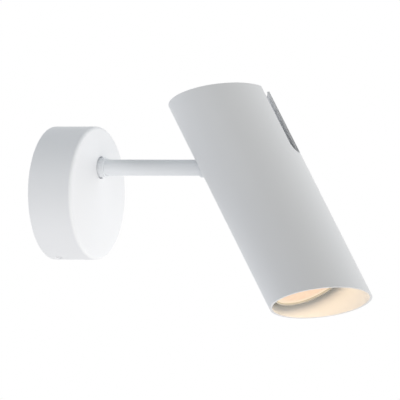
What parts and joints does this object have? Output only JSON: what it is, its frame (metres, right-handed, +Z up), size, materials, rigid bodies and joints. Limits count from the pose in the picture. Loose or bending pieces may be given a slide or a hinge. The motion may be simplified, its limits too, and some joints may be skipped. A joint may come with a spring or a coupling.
{
  "type": "pivoting spotlight wall light",
  "caption": "Wall spotlight: round canopy, straight arm and a slotted open tube with sloping rims that pivots on the arm's end round a reflector lamp.",
  "frame": {"origin": "centre of the cable entry in the wall bracket, on the wall plane", "axes": "+X out of the wall along the arm, +Z up, head tilted outward about Y at rest"},
  "size_m": [0.2185, 0.083, 0.1432],
  "materials": {
    "zinc": "zinc-plated steel sheet",
    "grommet": "soft black rubber",
    "block": "moulded white plastic",
    "brass": "plain brass",
    "steel": "zinc-plated steel",
    "tinned": "tin-plated",
    "white_canopy": "matt white powder coat",
    "white_screw": "white painted set screw",
    "white_collar": "matt white powder coat",
    "white_arm": "matt white powder coat",
    "white_knuckle": "matt white powder coat",
    "white_tube": "matt white powder coat, inside and out",
    "bush": "moulded plastic",
    "nylon": "plain nylon",
    "ceramic": "unglazed white ceramic look",
    "lamp_plastic": "white lamp housing",
    "board": "white printed aluminium board with light sources",
    "lens": "frosted diffusing lens, lit",
    "silicone": "white silicone sleeve",
    "earth_wire": "green and yellow insulation"
  },
  "bodies": {
    "wall_side": {"wall_bracket": "zinc", "cable_grommet": "grommet", "terminal_block": "block", "terminal_tubes": "brass", "terminal_screws": "steel", "block_screws": "steel", "earth_tag": "tinned", "earth_screw": "brass", "canopy": "white_canopy", "canopy_screws": "white_screw", "backing_plate": "zinc", "root_collar": "white_collar", "arm_tube": "white_arm", "toothed_washer": "steel", "arm_nut": "steel", "arm_bush": "bush", "arm_knuckle": "white_knuckle", "pivot_screws": "steel", "arm_lead": "silicone", "earth_wire": "earth_wire"},
    "head": {"friction_washers": "nylon", "spring_washers": "steel", "head_tube": "white_tube", "head_bridge": "zinc", "pivot_yoke": "zinc", "yoke_screws": "steel", "lampholder": "ceramic", "holder_screws": "steel", "holder_spacers": "steel", "holder_contacts": "brass", "lamp_pins": "tinned", "lamp_base": "lamp_plastic", "lamp_cup": "lamp_plastic", "led_board": "board", "lamp_lens": "lens", "head_lead": "silicone"}
  },
  "joints": [
    {"name": "head_tilt", "type": "hinge", "parent": "wall_side", "child": "head", "pos_m": [0.1325, 0, 0.0165], "axis": [0, -1, 0], "range_deg": [-32.7, 147.3], "deforming": ["head_lead"]}
  ]
}
